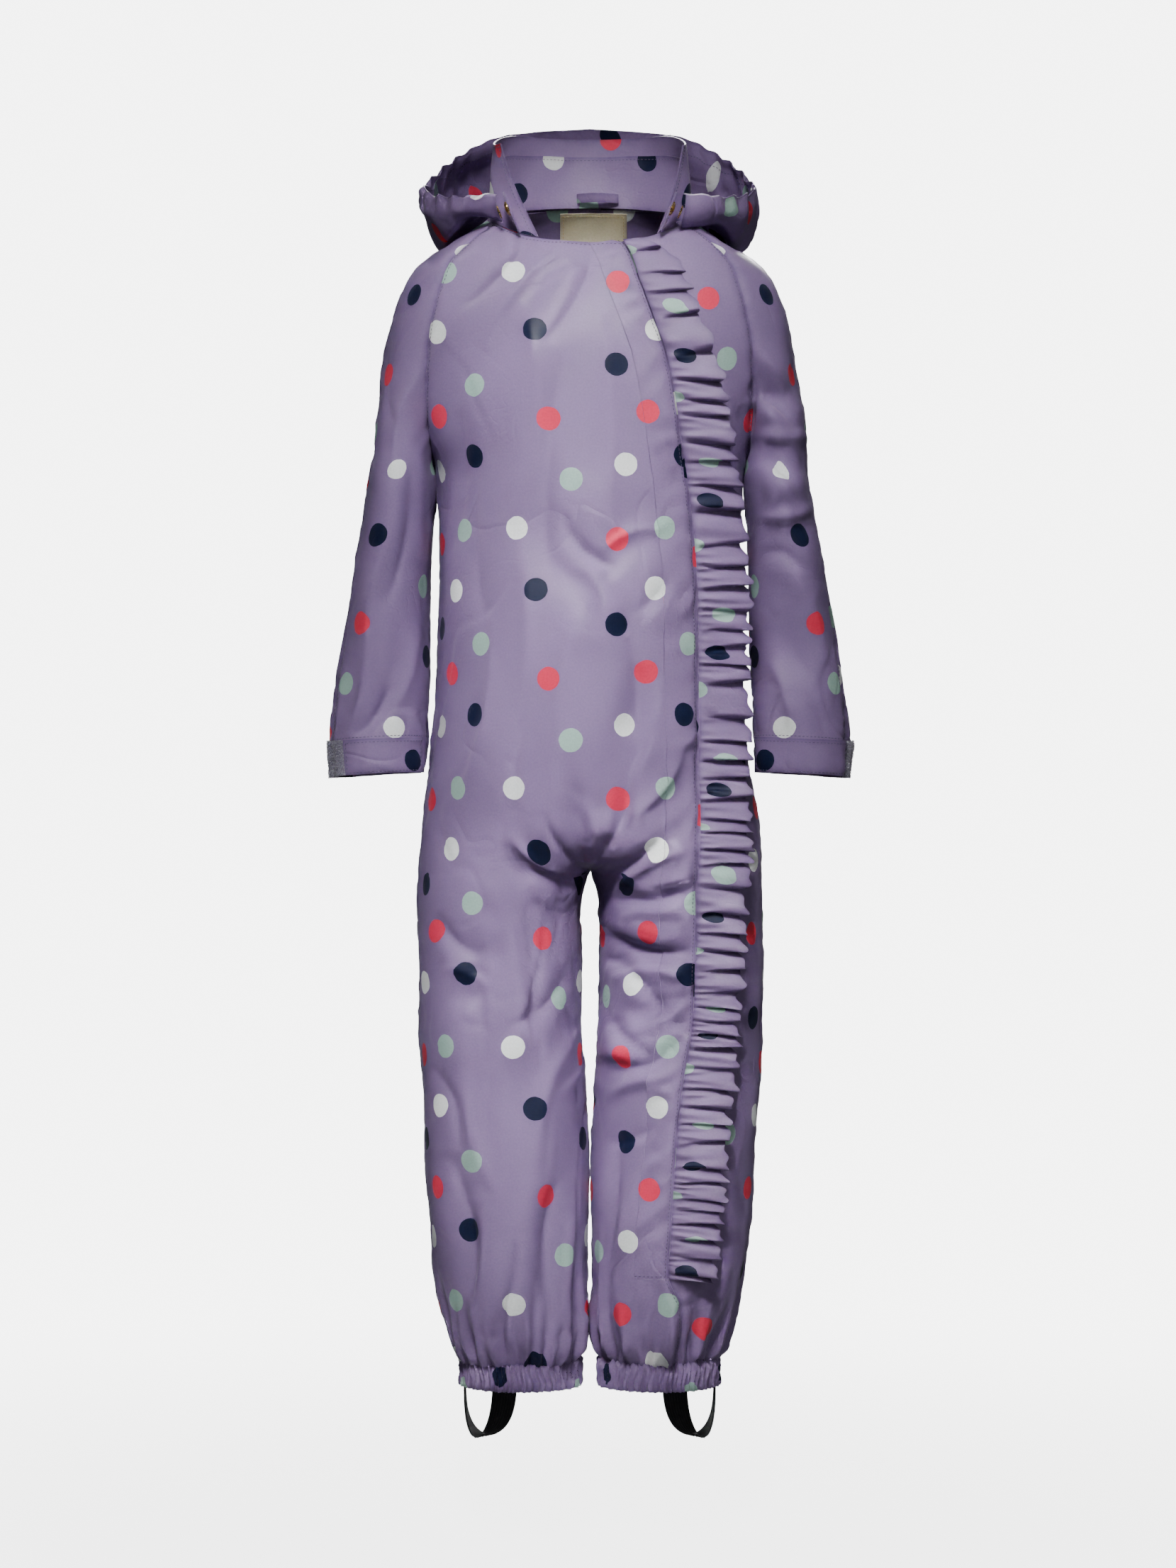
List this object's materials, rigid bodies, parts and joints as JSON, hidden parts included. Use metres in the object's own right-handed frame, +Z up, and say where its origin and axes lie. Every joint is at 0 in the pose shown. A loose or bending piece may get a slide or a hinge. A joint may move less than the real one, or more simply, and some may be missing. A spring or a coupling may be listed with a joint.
{
  "type": "toddler's hooded shell coverall (snowsuit)",
  "caption": "Toddler's hooded shell coverall with raglan sleeves, a slanted frilled opening, elastic ankles and foot straps.",
  "frame": {"origin": "middle of the neck base, where the wearer's shoulders hold the garment up", "axes": "+Z up, +X towards the wearer's left, the front faces -Y"},
  "size_m": [0.3962, 0.2471, 1.0113],
  "materials": {
    "shell_cloth": "coated woven shell cloth, purple with spots in four colours, soft satin sheen",
    "loop_pile": "fuzzy lilac loop pile",
    "label_cloth": "cream woven label with a gold stitched border",
    "stud_metal": "polished gold-coloured metal",
    "elastic": "black ribbed elastic webbing"
  },
  "bodies": {
    "root": {"front_main": "shell_cloth", "placket_band": "shell_cloth", "front_left": "shell_cloth", "back": "shell_cloth", "sleeve_left_front": "shell_cloth", "sleeve_left_back": "shell_cloth", "sleeve_right_front": "shell_cloth", "sleeve_right_back": "shell_cloth", "cuff_tab_left": "shell_cloth", "cuff_tab_right": "shell_cloth", "loop_patch_left": "loop_pile", "loop_patch_right": "loop_pile", "collar_outer": "shell_cloth", "collar_inner": "shell_cloth", "hood_centre": "shell_cloth", "hood_left": "shell_cloth", "hood_right": "shell_cloth", "snap_tab_left": "shell_cloth", "snap_tab_right": "shell_cloth", "hood_snap_left": "stud_metal", "hood_snap_right": "stud_metal", "hood_cap_left": "stud_metal", "hood_cap_right": "stud_metal", "hang_loop": "shell_cloth", "neck_label": "label_cloth", "ruffle": "shell_cloth", "leg_cuff_left": "shell_cloth", "leg_cuff_right": "shell_cloth", "stirrup_left": "elastic", "stirrup_right": "elastic"}
  },
  "joints": []
}
